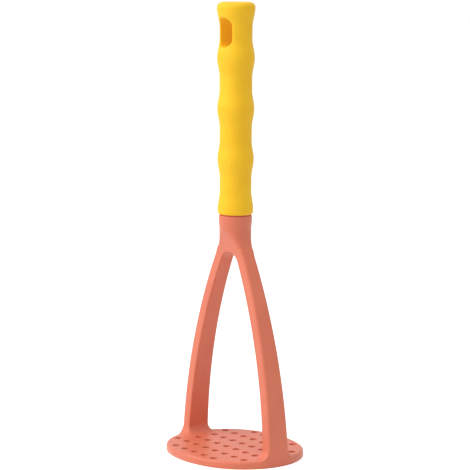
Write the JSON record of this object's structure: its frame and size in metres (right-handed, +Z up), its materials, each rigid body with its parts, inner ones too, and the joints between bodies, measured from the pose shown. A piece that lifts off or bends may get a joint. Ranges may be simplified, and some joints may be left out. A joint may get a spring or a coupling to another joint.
{
  "type": "potato masher",
  "caption": "Hand potato masher: nylon perforated oval plate on two bowed arms, with a bamboo-shaped grip that has a hang slot near its upper end.",
  "frame": {"origin": "middle of the mashing plate's flat underside", "axes": "+Z up the grip, X across the two arms (the long way of the oval plate), Y along the hang slot's opening"},
  "size_m": [0.0882, 0.0744, 0.267],
  "materials": {
    "head_nylon": "satin moulded",
    "core_polypropylene": "moulded, hidden",
    "grip_skin": "soft-touch matte",
    "pin_steel": "ground"
  },
  "bodies": {
    "root": {"masher_head": "head_nylon", "grip_core": "core_polypropylene", "grip_sleeve": "grip_skin", "tang_pin": "pin_steel"}
  },
  "joints": []
}
